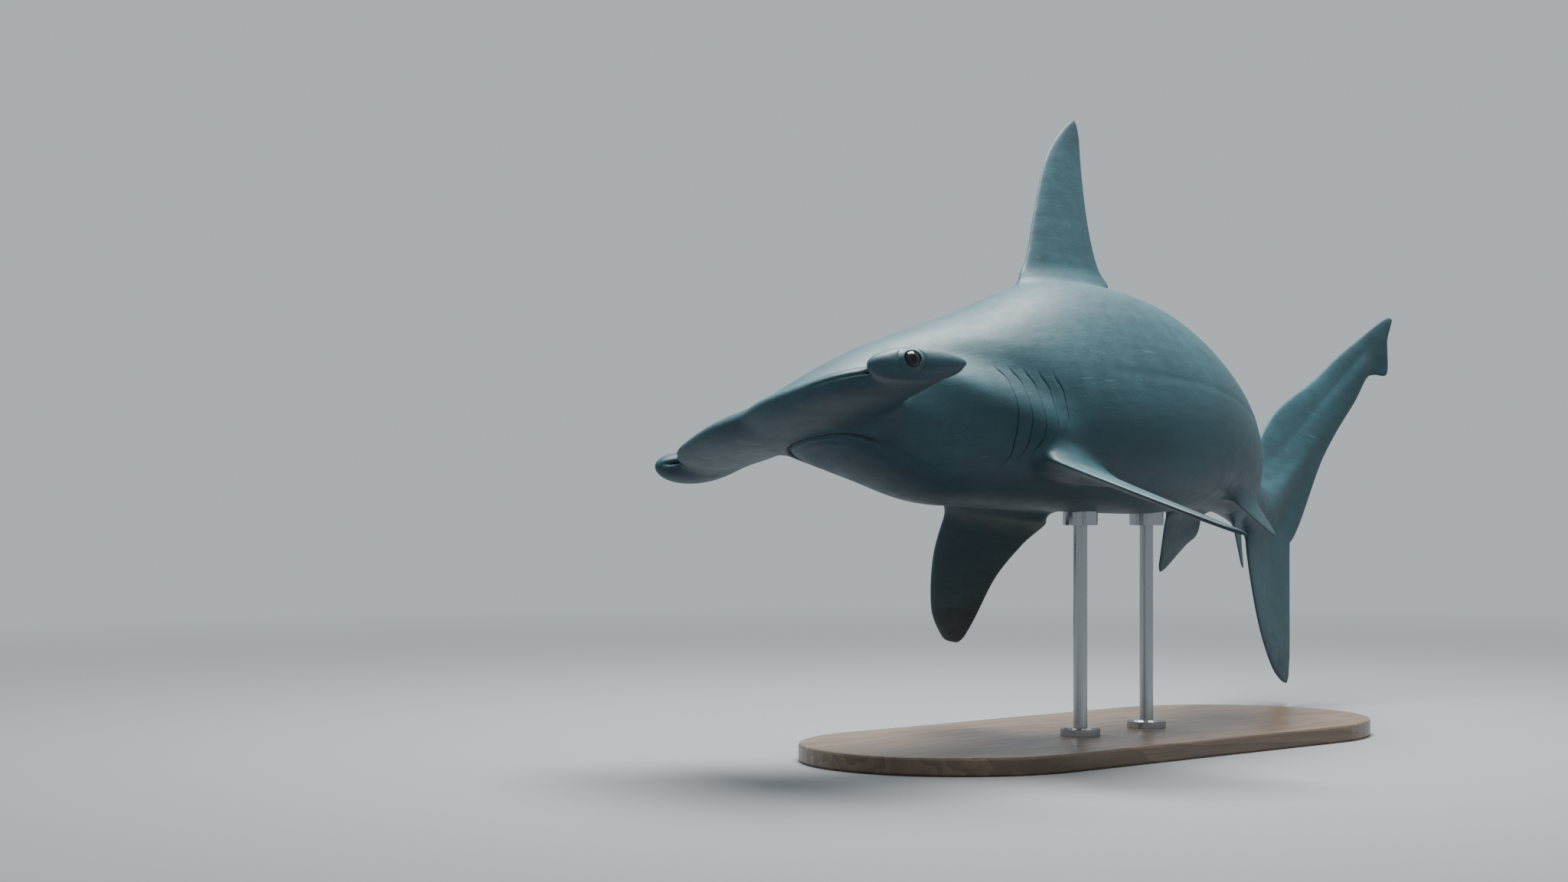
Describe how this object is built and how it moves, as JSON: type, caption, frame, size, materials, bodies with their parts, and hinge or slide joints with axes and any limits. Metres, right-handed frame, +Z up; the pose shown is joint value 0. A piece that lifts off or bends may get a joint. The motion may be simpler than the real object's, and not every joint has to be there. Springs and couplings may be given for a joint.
{
  "type": "hammerhead shark",
  "caption": "Life-size scalloped hammerhead shark, banked in mid-swim with its tail swung to one side, held by rods on a flat oval base.",
  "frame": {"origin": "middle of the base's underside, on the floor", "axes": "-X the way the shark swims, +X towards its tail, +Y towards its right side, +Z up"},
  "size_m": [2.2949, 0.9421, 1.0991],
  "materials": {
    "skin": "fine-grained, slightly moist shark skin: slate blue-grey back, slightly greyer belly, dusky fin tips",
    "eye": "wet gloss, dark pupil in a grey-gold iris",
    "base": "satin-varnished smoked oak",
    "rod": "brushed stainless steel"
  },
  "bodies": {
    "root": {"head": "skin", "gill_region": "skin", "trunk_front": "skin", "trunk_rear": "skin", "tail_stem": "skin", "caudal_upper_lobe": "skin", "caudal_lower_lobe": "skin", "dorsal_fin_first": "skin", "dorsal_fin_second": "skin", "anal_fin": "skin", "pectoral_fin_left": "skin", "pectoral_fin_right": "skin", "pelvic_fin_left": "skin", "pelvic_fin_right": "skin", "eye_left": "eye", "eye_right": "eye", "stand_base": "base", "stand_rod_front": "rod", "stand_collar_front": "rod", "stand_rod_rear": "rod", "stand_collar_rear": "rod"}
  },
  "joints": []
}
